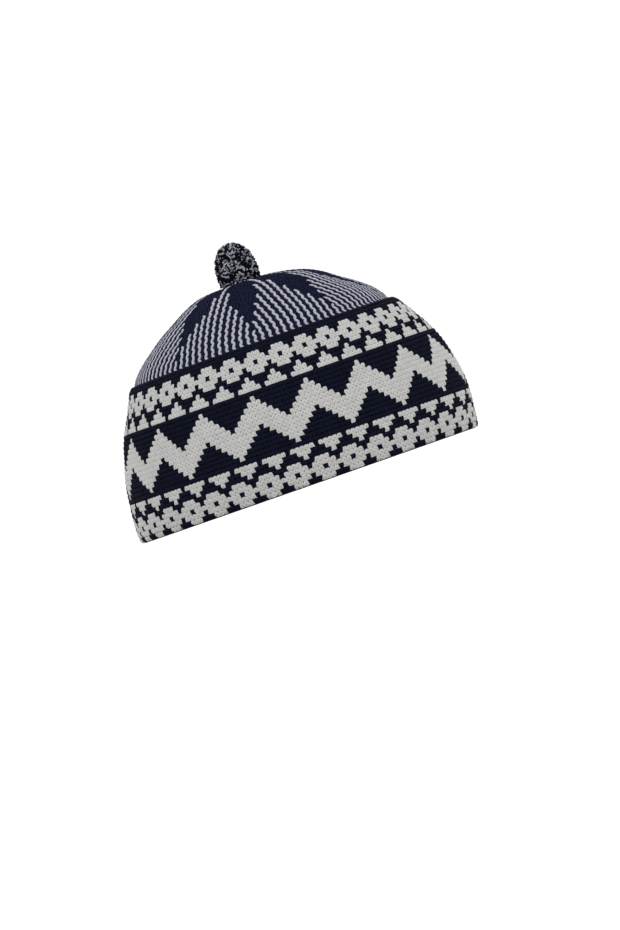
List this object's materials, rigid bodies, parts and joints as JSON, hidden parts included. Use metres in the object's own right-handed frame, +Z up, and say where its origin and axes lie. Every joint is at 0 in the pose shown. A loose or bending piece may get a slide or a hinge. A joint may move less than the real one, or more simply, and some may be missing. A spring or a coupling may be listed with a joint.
{
  "type": "knitted prayer cap",
  "caption": "Knitted prayer cap with a domed star-patterned crown, a turned-up patterned cuff and a small pompom tied on top.",
  "frame": {"origin": "on the surface that the rim stands on, under the middle of the cap's overall length and width", "axes": "+Z up through the pompom, +X towards the front of the cap, +Y towards its left side"},
  "size_m": [0.2062, 0.1672, 0.1458],
  "materials": {
    "crown_knit": "fine two-colour knit, navy star over off-white and navy stripes",
    "cuff_knit": "thick two-colour knit, off-white flowers, triangles and zigzag on navy",
    "pompom_yarn": "cut yarn ends, navy and off-white mixed",
    "tie_yarn": "plain navy yarn, tightly wound"
  },
  "bodies": {
    "root": {"crown": "crown_knit", "cuff_band": "cuff_knit", "pompom": "pompom_yarn", "pompom_tie": "tie_yarn"}
  },
  "joints": []
}
